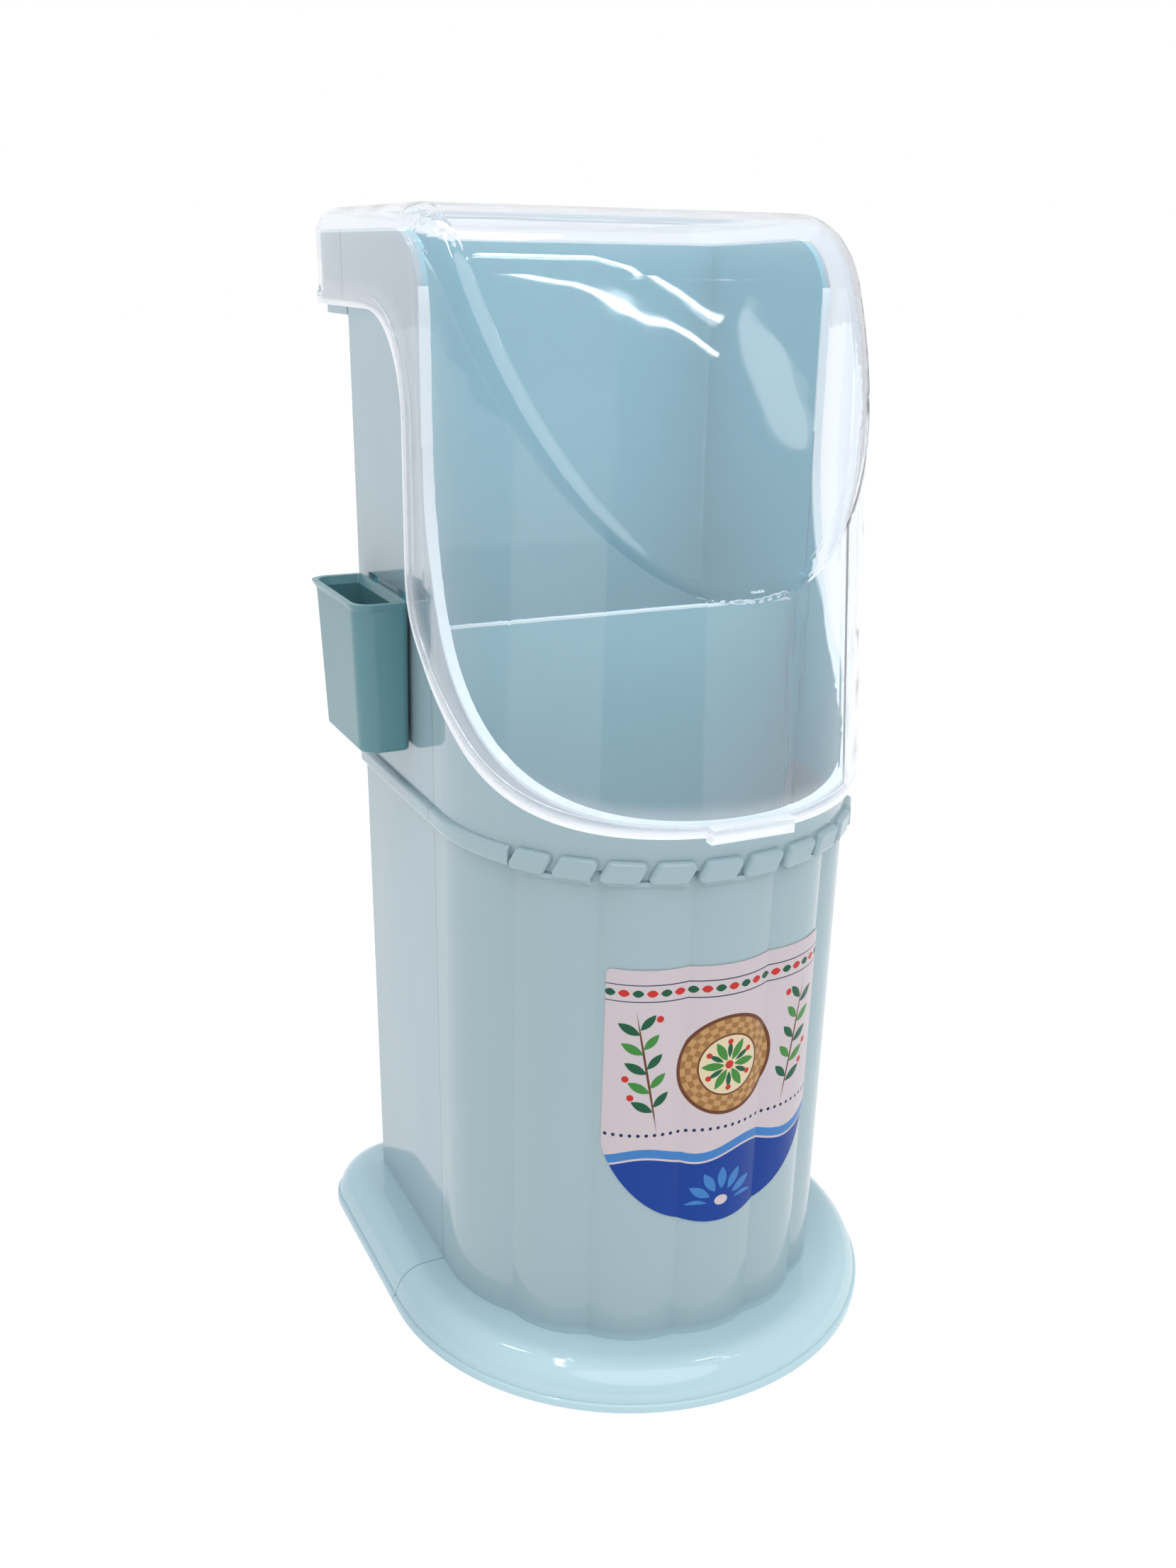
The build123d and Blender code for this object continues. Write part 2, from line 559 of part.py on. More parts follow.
def lid():
    """Clear hood with cheeks, thick lower rim, finger tab and moulded hinge pins."""
    inner = hood(LID_WALL)
    view = lid_side_view()
    above_edge = extrude(Plane.YZ * view, FAR, both=True)
    above_bead = extrude(Plane.YZ * offset(view, -RIM_BEAD_WIDTH), FAR, both=True)
    bead_top_z = CHEEK_FOOT_Z + RIM_BEAD_WIDTH
    above_bead += Pos(0, 0, bead_top_z + FAR) * Box(2 * FAR, 2 * FAR, 2 * FAR)
    shell = (hood(0) - inner) & above_edge
    shell += (hood(-RIM_BEAD_OUT) - inner) & (above_edge - above_bead)
    rear_foot_z = PIN_Z + LID_REAR_RISE
    inner_width = 2 * (LID_HALF_WIDTH - LID_WALL)
    shell -= Pos(0, LID_REAR_Y, rear_foot_z - FAR / 2) * Box(inner_width, LID_REAR_CUT, FAR)
    grip = Box(TAB_GRIP_WIDTH, TAB_GRIP_OUT + LID_WALL, TAB_GRIP_HEIGHT)
    grip = fillet(grip.edges().filter_by(Axis.Z) + grip.edges().filter_by(Axis.X), TAB_GRIP_R)
    shell += Pos(0, (LID_WALL - TAB_GRIP_OUT) / 2 - LID_FRONT_DEPTH, EDGE_FRONT_Z + TAB_GRIP_HEIGHT / 4) * grip
    shell -= inner
    pin = Rot(0, 90, 0) * Cylinder(PIN_R, PIN_LENGTH)
    pin_x = LID_HALF_WIDTH - (LID_WALL + PIN_LENGTH) / 2
    return shell + [Pos(x, PIN_Y, PIN_Z) * pin for x in (-pin_x, pin_x)]


def pocket_plan(z, grow=0.0):
    """Plan of the pocket at a height; its back stays upright, the other faces taper."""
    share = (POCKET_RIM_Z - z) / (POCKET_RIM_Z - POCKET_BOTTOM_Z)
    taper = POCKET_TAPER * share
    back_x = -half_width(POCKET_RIM_Z) - POCKET_GAP + min(grow, 0)
    outer_x = -half_width(POCKET_RIM_Z) - POCKET_GAP - POCKET_DEPTH + taper - grow
    front_y = POCKET_FRONT_Y + taper - grow
    rear_y = POCKET_REAR_Y - taper + grow
    plan = make_face(Polyline(
        (back_x, front_y), (back_x, rear_y), (outer_x, rear_y), (outer_x, front_y), close=True))
    corners = plan.vertices().group_by(Axis.X)
    plan = fillet(corners[0], POCKET_CORNER_R + grow)
    return Pos(0, 0, z) * fillet(plan.vertices().group_by(Axis.X)[-1], POCKET_BACK_R + min(grow, 0))


def pocket_hook(y):
    """Stub through the side wall with a tongue that hangs down behind it."""
    back_x = -half_width(POCKET_RIM_Z) - POCKET_GAP - POCKET_WALL / 2
    tongue_x = -half_width(HOOK_TOP_Z - HOOK_DROP, WALL + HOOK_FIT)
    low = HOOK_TOP_Z - HOOK_THICKNESS
    profile = make_face(Polyline(
        (back_x, low), (tongue_x, low), (tongue_x, low - HOOK_DROP),
        (tongue_x + HOOK_THICKNESS / 2, low - HOOK_DROP), (tongue_x + HOOK_THICKNESS, low),
        (tongue_x + HOOK_THICKNESS, HOOK_TOP_Z), (back_x, HOOK_TOP_Z), close=True))
    return Pos(0, y, 0) * extrude(Plane.XZ * profile, HOOK_WIDTH / 2, both=True)


def pocket():
    """Small tapered cup that hangs on the left side."""
    cup = loft([pocket_plan(POCKET_BOTTOM_Z), pocket_plan(POCKET_RIM_Z)], ruled=True)
    cup = fillet(cup.faces().sort_by(Axis.Z)[0].edges(), POCKET_WALL / 2)
    lip_z = POCKET_RIM_Z - POCKET_LIP_HEIGHT
    cup += loft([pocket_plan(lip_z), pocket_plan(POCKET_RIM_Z, POCKET_LIP_OUT)], ruled=True)
    cup -= loft([
        pocket_plan(POCKET_BOTTOM_Z + POCKET_WALL, -POCKET_WALL), pocket_plan(lip_z, -POCKET_WALL)], ruled=True)
    cup -= loft([
        pocket_plan(lip_z, -POCKET_WALL), pocket_plan(POCKET_RIM_Z, POCKET_LIP_OUT - POCKET_WALL)], ruled=True)
    return cup + [pocket_hook(y) for y in hook_places()]


def label():
    """Shield-shaped sticker that follows the flutes."""
    outer = between(front_face, WALL_FOOT_Z, BAND_Z, inset=-LABEL_GAP - LABEL_THICKNESS, flute_depth=FLUTE_DEPTH)
    inner = between(front_face, WALL_FOOT_Z, BAND_Z, inset=-LABEL_GAP, flute_depth=FLUTE_DEPTH)
    w = LABEL_HALF_WIDTH
    shield = make_face([
        Line((-w, LABEL_SIDE_Z), (-w, LABEL_TOP_Z)),
        Line((-w, LABEL_TOP_Z), (w, LABEL_TOP_Z)),
        Line((w, LABEL_TOP_Z), (w, LABEL_SIDE_Z)),
        ThreePointArc((w, LABEL_SIDE_Z), (0, LABEL_BOTTOM_Z), (-w, LABEL_SIDE_Z)),
    ])
    shield = fillet(shield.vertices().group_by(Axis.Y)[-1], LABEL_CORNER_R)
    return (outer - inner) & extrude(Plane.XZ * shield, FAR)


NODES = {
    "rear_shell": rear_shell,
    "front_shell": front_shell,
    "base_pan": base_pan,
    "drain_grate": drain_grate,
    "divider": divider,
    "lid": lid,
    "pocket": pocket,
    "label": label,
}

os.makedirs("parts", exist_ok=True)
for name, build in NODES.items():
    export_step(build(), f"parts/{name}.step")
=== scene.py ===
# %% [markdown]
# # A chopstick holder with a clear flip lid
# The holder stands on a counter: two mint shells joined at an upright seam, a wide foot, a rope band,
# a glossy see-through hood and a small teal cup on its left side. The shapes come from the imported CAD
# model. This lesson gives them their plastics, prints the sticker, and sets up floor, light and camera.

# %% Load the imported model
from math import cos, hypot, pi, radians, sin

import bpy
from mathutils import Matrix, Vector

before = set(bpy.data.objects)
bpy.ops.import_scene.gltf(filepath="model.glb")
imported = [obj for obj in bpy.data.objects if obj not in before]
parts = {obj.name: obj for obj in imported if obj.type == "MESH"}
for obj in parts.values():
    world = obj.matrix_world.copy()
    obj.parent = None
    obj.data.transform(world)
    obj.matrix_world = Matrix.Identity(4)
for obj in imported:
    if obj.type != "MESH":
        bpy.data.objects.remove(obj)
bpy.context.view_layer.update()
MM = 0.001
print("nodes:", ", ".join(sorted(parts)))

# %% [markdown]
# ## Small helpers for materials
# A material is a little machine of nodes. Writing `nodes.new` and `links.new` for each node hides the
# idea behind the typing, so helpers keep it short: one makes a node and fills its sockets, a few do
# sums and blends with it, one starts a material, and one gives a piece its material.

# %% Node helpers
def node(tree, kind, values=None, **settings):
    """Adds a node, sets its properties and fills its sockets by name or number."""
    made = tree.nodes.new(kind)
    for key, value in settings.items():
        setattr(made, key, value)
    for socket, value in (values or {}).items():
        if hasattr(value, "is_output"):      # another node's socket, and not a number or a colour
            tree.links.new(value, made.inputs[socket])
        else:
            made.inputs[socket].default_value = value
    return made


def maths(tree, operation, a, b=0.0, clamp=False):
    """One Math node; returns its output socket."""
    made = node(tree, "ShaderNodeMath", {0: a, 1: b}, operation=operation, use_clamp=clamp)
    return made.outputs[0]


def plus(tree, a, b, clamp=False):
    return maths(tree, "ADD", a, b, clamp)


def minus(tree, a, b, clamp=False):
    return maths(tree, "SUBTRACT", a, b, clamp)


def times(tree, a, b, clamp=False):
    return maths(tree, "MULTIPLY", a, b, clamp)


def slope(tree, value, per_unit, at_zero):
    """A straight line: what it is at zero, and how much it gains per unit of the value."""
    return plus(tree, times(tree, value, per_unit), at_zero)


def straight_distance(tree, a, b):
    """How far a and b reach together, as the long side of a right triangle."""
    return maths(tree, "SQRT", plus(tree, times(tree, a, a), times(tree, b, b)))


def wrapped(tree, value, half):
    """The value brought back between -half and half, so that one mark prints a whole row."""
    return node(tree, "ShaderNodeMath", {0: value, 1: half, 2: -half}, operation="WRAP").outputs[0]


def cover(tree, below, mask, over):
    """The colour over where the mask is 1, and what lies below where it is 0."""
    return node(tree, "ShaderNodeMix", {"Factor": mask, "A": below, "B": over},
                data_type="RGBA").outputs["Result"]


def fade(tree, value, start, end, amount=1.0):
    """The amount up to the start, nothing past the end, and a smooth slope between."""
    return node(tree, "ShaderNodeMapRange", {
        "Value": value, "From Min": start, "From Max": end, "To Min": amount, "To Max": 0.0},
        interpolation_type="SMOOTHSTEP").outputs[0]


def place_mm(tree):
    """Across, back and up in millimetres from the middle of the foot."""
    place = node(tree, "ShaderNodeTexCoord").outputs["Object"]
    scaled = node(tree, "ShaderNodeVectorMath", {0: place, "Scale": 1 / MM}, operation="SCALE")
    return node(tree, "ShaderNodeSeparateXYZ", {0: scaled.outputs["Vector"]}).outputs


def start_material(name, **values):
    """A material with a Principled shader; values go to sockets with underscores read as spaces."""
    material = bpy.data.materials.new(name)
    material.use_nodes = True
    shader = material.node_tree.nodes["Principled BSDF"]
    for key, value in values.items():
        shader.inputs[key.replace("_", " ")].default_value = value
    return material, material.node_tree, shader


def wire(tree, shader, sources):
    """Wires sockets to a shader's inputs by name."""
    for socket, source in sources.items():
        tree.links.new(source, shader.inputs[socket])


def dress(object_name, material):
    """Gives a CAD node one material all over."""
    target = parts[object_name]
    target.data.materials.clear()
    target.data.materials.append(material)
    print(object_name, "wears", material.name)


print("helpers: node, sums, cover, fade, place_mm, start_material, wire, dress")

# %% [markdown]
# ## The moulded skin that all the plastics share
# Injection-moulded polypropylene is never a perfect mirror. Its skin has faint waves where it shrank, a
# fine grain from the polished steel, and cloudy patches of slightly different gloss. All three are
# noise at different sizes, so they go into one node group that each plastic uses with its own values.

# %% Moulded skin group
WAVES_PER_M, GRAINS_PER_M, PATCHES_PER_M = 38.0, 1500.0, 16.0
WAVE_DEPTH, GRAIN_DEPTH = 1.2 * MM, 0.05 * MM


def moulded_skin_group():
    """Node group: shrink waves and grain as a normal, and patches for colour and gloss."""
    group = bpy.data.node_groups.new("moulded_skin", "ShaderNodeTree")
    face = group.interface
    for label in ("Wave Height", "Grain Height", "Gloss", "Gloss Spread"):
        face.new_socket(label, in_out="INPUT", socket_type="NodeSocketFloat")
    for label, kind in (("Normal", "Vector"), ("Patches", "Float"), ("Roughness", "Float")):
        face.new_socket(label, in_out="OUTPUT", socket_type="NodeSocket" + kind)
    given = node(group, "NodeGroupInput")
    place = node(group, "ShaderNodeTexCoord").outputs["Object"]
    waves, grain, patches = (
        node(group, "ShaderNodeTexNoise", {"Vector": place, "Scale": scale, "Detail": detail})
        for scale, detail in ((WAVES_PER_M, 1.0), (GRAINS_PER_M, 2.0), (PATCHES_PER_M, 3.0)))
    wave_bump = node(group, "ShaderNodeBump", {
        "Strength": given.outputs["Wave Height"], "Distance": WAVE_DEPTH, "Height": waves.outputs["Fac"]})
    grain_bump = node(group, "ShaderNodeBump", {
        "Strength": given.outputs["Grain Height"], "Distance": GRAIN_DEPTH,
        "Height": grain.outputs["Fac"], "Normal": wave_bump.outputs["Normal"]})
    centred = minus(group, patches.outputs["Fac"], 0.5)
    spread = times(group, centred, given.outputs["Gloss Spread"])
    roughness = plus(group, given.outputs["Gloss"], spread, clamp=True)
    node(group, "NodeGroupOutput", {
        "Normal": grain_bump.outputs["Normal"], "Patches": patches.outputs["Fac"], "Roughness": roughness})
    return group


MOULDED_SKIN = moulded_skin_group()


def moulded_skin(tree, wave, grain, gloss, spread):
    """Places the skin with its own values, and returns its sockets."""
    skin = node(tree, "ShaderNodeGroup", node_tree=MOULDED_SKIN)
    for socket, value in (("Wave Height", wave), ("Grain Height", grain), ("Gloss", gloss),
                          ("Gloss Spread", spread)):
        skin.inputs[socket].default_value = value
    return skin.outputs


print("group:", MOULDED_SKIN.name)

# %% [markdown]
# ## The plastics
# Mint and teal are the same recipe with other pigments. Two close tones of each pigment are mixed by the
# skin's patches, and a little subsurface scattering gives the soft depth of polypropylene. The front shell
# is a shade lighter than the rear one, which holds the sides and the back: this is painted shade on the
# sides and back, set against the lit front.
#
# The same plastic doesn't look the same all over, and here the light on it is painted into its colour.
# Inside the body, a deeper and darker tone is painted shade and light bounced from mint to mint. Thin
# edges carry a painted highlight, the foot is painted lighter with a painted sheen at its front, and the
# seam holds a dark line. Extra material slots or painted vertices could show that, but both need cuts in
# the mesh where the tone changes. A mask worked out from the place in millimetres needs none, and stays
# sharp.

# %% Where the inside is
# Lines in millimetres: what they gain per millimetre of height, and what they are at the table.
HALF_WIDTH = (0.004, 56.26)
FRONT_CENTRE = (-0.0163, -3.53)
DEPTH_BEHIND = (0.018, 57.8)
WALL_MIDDLE = 1.2                  # from the outer face to the middle of the wall
FLUTES_TOP = 152.0                 # below it, the front's valleys come as deep as the wall's middle


# Mask for the painted shade and bounced light inside the body.
def inside_shade_mask(tree):
    """1 on faces that look into the body: within its half-round front, its sides and its back."""
    axes = place_mm(tree)
    half_width = slope(tree, axes["Z"], HALF_WIDTH[0], HALF_WIDTH[1] - WALL_MIDDLE)
    centre = slope(tree, axes["Z"], *FRONT_CENTRE)
    forward = maths(tree, "MINIMUM", minus(tree, axes["Y"], centre), 0.0)
    past_side = minus(tree, straight_distance(tree, axes["X"], forward), half_width)
    depth = slope(tree, axes["Z"], DEPTH_BEHIND[0], DEPTH_BEHIND[1] - WALL_MIDDLE)
    past_back = minus(tree, axes["Y"], depth)
    within = maths(tree, "LESS_THAN", maths(tree, "MAXIMUM", past_side, past_back), 0.0)
    above_flutes = maths(tree, "GREATER_THAN", axes["Z"], FLUTES_TOP)
    behind_seam = maths(tree, "GREATER_THAN", axes["Y"], 0.0)
    return times(tree, within, maths(tree, "MAXIMUM", above_flutes, behind_seam))


print("inside starts", WALL_MIDDLE, "mm in from the outer face")

# %% Where the edges are
RIM_TOP = 245.0                    # where the front shell's rim meets the seam
RIM_REACH, RIM_DROP = 68.0, 84.0   # the rim is a quarter of an oval, this deep and this tall
REAR_TOP_EDGE, DIVIDER_TOP_EDGE = 294.6, 198.4


# Each edge mask marks where a thin edge gets a painted highlight.
def rear_edge_highlight_mask(tree):
    """The rear shell's top edge, and its front edge above the other shell."""
    axes = place_mm(tree)
    top = maths(tree, "GREATER_THAN", axes["Z"], REAR_TOP_EDGE)
    at_seam = maths(tree, "LESS_THAN", axes["Y"], 0.7)
    upright = times(tree, at_seam, maths(tree, "GREATER_THAN", axes["Z"], RIM_TOP))
    return maths(tree, "MAXIMUM", top, upright)


def front_rim_highlight_mask(tree):
    """The front shell's rim: how far a place lies from the oval, faded over half a millimetre."""
    axes = place_mm(tree)
    a = maths(tree, "DIVIDE", plus(tree, axes["Y"], RIM_REACH), RIM_REACH)
    b = maths(tree, "DIVIDE", minus(tree, axes["Z"], RIM_TOP), RIM_DROP)
    beyond = minus(tree, straight_distance(tree, a, b), 1.0)
    return fade(tree, times(tree, beyond, (RIM_REACH + RIM_DROP) / 2), 0.5, 1.1)


def seam_line(tree):
    """The dark line where the two shells meet, below the top of the rim."""
    axes = place_mm(tree)
    near = fade(tree, maths(tree, "ABSOLUTE", axes["Y"]), 0.12, 0.28)
    return times(tree, near, maths(tree, "LESS_THAN", axes["Z"], RIM_TOP))


def divider_edge_highlight_mask(tree):
    """The divider's top edge."""
    return maths(tree, "GREATER_THAN", place_mm(tree)["Z"], DIVIDER_TOP_EDGE)


print("rim:", RIM_REACH, "mm deep and", RIM_DROP, "mm tall, up to", RIM_TOP)

# %% Pigmented plastic
EDGE_PAINTED_HIGHLIGHT = (0.78, 0.90, 0.93, 1)  # painted highlight: thin edges of mint plastic are painted bright where they catch the light
SEAM_TONE = (0.17, 0.26, 0.30, 1)
# painted shade: the deeper, darker tone inside the body, for shade and light bounced from mint to mint
INSIDE_PAINTED_SHADE = (0.175, 0.475, 0.565, 1)
# painted light: the foot is painted lighter where light falls on its top, and lighter still at its front
# for the sheen it shows there
FOOT_PAINTED_LIGHT, FOOT_FRONT_PAINTED_SHEEN = (0.35, 0.50, 0.565, 1), (0.46, 0.64, 0.70, 1)
FOOT_TOP = (9.0, 14.0)             # millimetres up, over which the foot's painted light fades into the wall's tone
FOOT_TURN = (-55.0, -8.0)          # millimetres back, over which the painted sheen on the front of the foot fades


def pigmented_plastic(name, tone_a, tone_b, gloss, inside=None, edges=None, foot=None):
    """Opaque moulded plastic between two close tones; painted shade inside, painted highlight on edges,
    and painted light on the foot with the seam, if given.
    """
    material, tree, shader = start_material(
        name, IOR=1.5, Subsurface_Weight=0.06, Subsurface_Scale=0.004, Subsurface_Radius=(1.0, 1.0, 1.0))
    skin = moulded_skin(tree, wave=0.25, grain=0.03, gloss=gloss, spread=0.04)
    tone = cover(tree, tone_a, skin["Patches"], tone_b)
    # painted shade inside the body
    if inside:
        tone = cover(tree, tone, inside_shade_mask(tree), inside)
    # painted light on the foot and painted sheen on its front, then the seam's dark line
    if foot:
        axes = place_mm(tree)
        low = fade(tree, axes["Z"], *FOOT_TOP)
        tone = cover(tree, tone, low, foot)
        front = times(tree, low, fade(tree, axes["Y"], *FOOT_TURN))
        tone = cover(tree, tone, front, FOOT_FRONT_PAINTED_SHEEN)
        tone = cover(tree, tone, seam_line(tree), SEAM_TONE)
    # painted highlight on thin edges
    if edges:
        tone = cover(tree, tone, edges(tree), EDGE_PAINTED_HIGHLIGHT)
    wire(tree, shader, {"Base Color": tone, "Roughness": skin["Roughness"], "Normal": skin["Normal"]})
    print("plastic:", name, "with", len(tree.nodes), "nodes")
    return material

# %% Mint and teal
# The rear shell's tones are a shade darker than the front's: painted shade on the sides and back.
REAR = pigmented_plastic("mint_rear", (0.305, 0.415, 0.466, 1), (0.29, 0.40, 0.45, 1), 0.07,
                         INSIDE_PAINTED_SHADE, rear_edge_highlight_mask, FOOT_PAINTED_LIGHT)
FRONT = pigmented_plastic("mint_front", (0.325, 0.437, 0.478, 1), (0.31, 0.42, 0.46, 1), 0.07,
                          INSIDE_PAINTED_SHADE, front_rim_highlight_mask, FOOT_PAINTED_LIGHT)
# painted shade: the divider, pan and grate are the same mint plastic, in a deeper, darker tone for the
# shade and bounced light inside the body
SATIN_PAINTED_SHADE = pigmented_plastic("mint_satin_painted_shade", (0.165, 0.45, 0.53, 1), (0.155, 0.435, 0.515, 1), 0.3,
                          edges=divider_edge_highlight_mask)
TEAL = pigmented_plastic("teal_plastic", (0.10, 0.245, 0.278, 1), (0.088, 0.225, 0.26, 1), 0.3)

dress("rear_shell", REAR)
dress("front_shell", FRONT)
for name in ("base_pan", "drain_grate", "divider"):
    dress(name, SATIN_PAINTED_SHADE)
dress("pocket", TEAL)

# %% [markdown]
# ## The clear hood
# The hood is crystal styrene: a real thin wall with an outer and an inner face, so a glass shader bends
# light twice and the thick rim shows up by itself. Cycles treats glass as a black wall for shadows, so
# shadow rays get a transparent shader instead, and light reaches the inside of the holder.
#
# Where the styrene is thick, at its lower edge, it turns milky. Volume scattering would do that, but it
# is slow and grainy in thin walls, so a share of plain diffuse shader stands for it. How far a place
# lies from the edge comes from four lines blended into one curve, as the edge itself was drawn.

# %% The hood's lower edge
# Seen from the side, in millimetres: level in front, a climb, upright, and level again behind.
EDGE_Z, BEND_Y, CLIMB = 159.0, -40.4, 0.85
CHEEK_Y, CHEEK_Z = 10.0, 276.0
BEND_BLEND, LOWER_BLEND, UPPER_BLEND = 24.4, 12.2, 45.7


def rim_reach(tree, axes):
    """Millimetres from the hood's lower edge: four straight lines blended into one curve."""
    rise = minus(tree, axes["Z"], EDGE_Z)
    run = minus(tree, axes["Y"], BEND_Y)
    climb = maths(tree, "DIVIDE", minus(tree, rise, times(tree, run, CLIMB)), hypot(1, CLIMB))
    before = minus(tree, CHEEK_Y, axes["Y"])
    over = minus(tree, axes["Z"], CHEEK_Z)
    reach = rise
    for other, blend, operation in (
            (climb, BEND_BLEND, "SMOOTH_MIN"), (before, LOWER_BLEND, "SMOOTH_MIN"),
            (over, UPPER_BLEND, "SMOOTH_MAX")):
        joined = node(tree, "ShaderNodeMath", {0: reach, 1: other, 2: blend}, operation=operation)
        reach = joined.outputs[0]
    return reach


print("hood's edge: level at", EDGE_Z, "mm in front and at", CHEEK_Z, "mm behind")

# %% Facets and milky places
FACET_ANGLE = 24.0                 # the hood repeats the body's flutes as faint upright facets
FACET_AXIS_Y = -6.0                # millimetres, the upright axis that they turn about
FACETS_AHEAD = 14.0                # they show only this far forward of it
RIDGE_ANGLE = 3.0
# From and to, in millimetres from the lower edge, and how milky: the bead, and the wall above it.
BEAD_CLOUD, WALL_CLOUD = (0.9, 1.9, 0.5), (3.0, 8.5, 0.16)
# painted sheen: how much pale diffuse every other facet gets, standing for their lighter reflections
FACET_PAINTED_SHEEN = 0.03


def facets(tree, axes):
    """Height of the soft ridges between the hood's upright facets, and which facets get a painted sheen.
    """
    forward = minus(tree, FACET_AXIS_Y, axes["Y"])
    angle = plus(tree, maths(tree, "ARCTAN2", axes["X"], forward), radians(FACET_ANGLE / 2))
    to_edge = maths(tree, "PINGPONG", angle, radians(FACET_ANGLE / 2))
    ridge = minus(tree, 1.0, maths(tree, "DIVIDE", to_edge, radians(RIDGE_ANGLE)), clamp=True)
    normal = node(tree, "ShaderNodeNewGeometry").outputs["Normal"]
    facing = node(tree, "ShaderNodeSeparateXYZ", {0: normal}).outputs
    upright = fade(tree, maths(tree, "ABSOLUTE", facing["Z"]), 0.05, 0.3)
    upright = times(tree, upright, maths(tree, "GREATER_THAN", forward, FACETS_AHEAD))
    swing = maths(tree, "SINE", times(tree, angle, 180 / FACET_ANGLE))
    paler = maths(tree, "GREATER_THAN", swing, 0.0)
    return times(tree, ridge, upright), times(tree, paler, upright)


def milk_and_facet_sheen(tree, axes, paler):
    """How much pale diffuse the styrene gets: milky at its thick lower edge, and a little painted sheen on
    every other facet.
    """
    reach = rim_reach(tree, axes)
    cloudy = plus(tree, fade(tree, reach, *BEAD_CLOUD), fade(tree, reach, *WALL_CLOUD))
    return plus(tree, cloudy, times(tree, paler, FACET_PAINTED_SHEEN))


print("facets: one every", FACET_ANGLE, "degrees")

# %% Clear styrene
def clear_styrene():
    """Glass that lets lamps through and turns cloudy at its thick edges."""
    material, tree, shader = start_material(
        "clear_styrene", Base_Color=(0.93, 0.955, 0.99, 1), IOR=1.5, Transmission_Weight=0.94,
        Metallic=0.0)
    skin = moulded_skin(tree, wave=0.09, grain=0.0, gloss=0.02, spread=0.02)
    axes = place_mm(tree)
    ridge, paler = facets(tree, axes)
    ridged = node(tree, "ShaderNodeBump", {
        "Strength": 0.5, "Distance": 0.2 * MM, "Height": ridge, "Normal": skin["Normal"]})
    wire(tree, shader, {"Roughness": skin["Roughness"], "Normal": ridged.outputs["Normal"]})
    milk = node(tree, "ShaderNodeBsdfDiffuse", {"Color": (0.93, 0.95, 0.98, 1)})
    cloudy = node(tree, "ShaderNodeMixShader", {
        0: milk_and_facet_sheen(tree, axes, paler), 1: shader.outputs["BSDF"], 2: milk.outputs["BSDF"]})
    shadow = node(tree, "ShaderNodeLightPath").outputs["Is Shadow Ray"]
    through = node(tree, "ShaderNodeBsdfTransparent", {"Color": (0.97, 0.985, 1.0, 1)})
    mixed = node(tree, "ShaderNodeMixShader", {
        0: shadow, 1: cloudy.outputs["Shader"], 2: through.outputs["BSDF"]})
    tree.links.new(mixed.outputs["Shader"], tree.nodes["Material Output"].inputs["Surface"])
    return material


dress("lid", clear_styrene())

# %% [markdown]
# ## The sticker
# A shield of printed film sits on the flutes. Its print is drawn with nodes: no picture file, so it
# stays sharp at any distance. First the film is unrolled: the angle round the body, times the body's
# radius, gives millimetres across, and Z gives millimetres up.

# %% The film laid flat
BODY_RADIUS = 57.2                 # millimetres, about the body's upright axis
BODY_AXIS_Y = -5.2


def flat_film(tree):
    """Millimetres across and up on the unrolled film."""
    axes = place_mm(tree)
    forward = minus(tree, BODY_AXIS_Y, axes["Y"])
    across = times(tree, maths(tree, "ARCTAN2", axes["X"], forward), BODY_RADIUS)
    return across, axes["Z"]


print("film radius:", BODY_RADIUS, "mm")

# %% [markdown]
# ## One printed mark
# Every leaf, berry and dot is the same mark: a long shape at a place, with a length, a width and a
# turn. At Point 0 it is an oval, at Point 1 a leaf with two tips. A node group holds it once, and its
# mask fades over a tenth of a millimetre, as ink does.

# %% Mark group
INK_EDGE = 0.12


def print_mark_group():
    """Node group: one oval or pointed leaf as a mask."""
    group = bpy.data.node_groups.new("print_mark", "ShaderNodeTree")
    for label in ("Across", "Up", "Centre Across", "Centre Up", "Half Length", "Half Width", "Turn",
                  "Point"):
        group.interface.new_socket(label, in_out="INPUT", socket_type="NodeSocketFloat")
    group.interface.new_socket("Mask", in_out="OUTPUT", socket_type="NodeSocketFloat")
    given = node(group, "NodeGroupInput").outputs
    across = minus(group, given["Across"], given["Centre Across"])
    up = minus(group, given["Up"], given["Centre Up"])
    cosine, sine = maths(group, "COSINE", given["Turn"]), maths(group, "SINE", given["Turn"])
    along = plus(group, times(group, across, cosine), times(group, up, sine))
    aside = minus(group, times(group, up, cosine), times(group, across, sine))
    a = maths(group, "DIVIDE", along, given["Half Length"])
    b = maths(group, "DIVIDE", aside, given["Half Width"])
    oval = minus(group, 1.0, straight_distance(group, a, b))
    leaf = minus(group, minus(group, 1.0, times(group, a, a)), maths(group, "ABSOLUTE", b))
    inside = node(group, "ShaderNodeMix", {0: given["Point"], 2: oval, 3: leaf}).outputs[0]
    edge = times(group, inside, maths(group, "DIVIDE", given["Half Width"], INK_EDGE))
    node(group, "NodeGroupOutput", {"Mask": plus(group, edge, 0.5, clamp=True)})
    return group


PRINT_MARK = print_mark_group()


def mark(tree, across, up, centre, half_length, half_width, turn=0.0, point=0.0):
    """Places one mark; centre in millimetres, turn in degrees."""
    placed = node(tree, "ShaderNodeGroup", {"Across": across, "Up": up}, node_tree=PRINT_MARK)
    values = {"Centre Across": centre[0], "Centre Up": centre[1], "Half Length": half_length,
              "Half Width": half_width, "Turn": radians(turn), "Point": point}
    for socket, value in values.items():
        placed.inputs[socket].default_value = value
    return placed.outputs["Mask"]


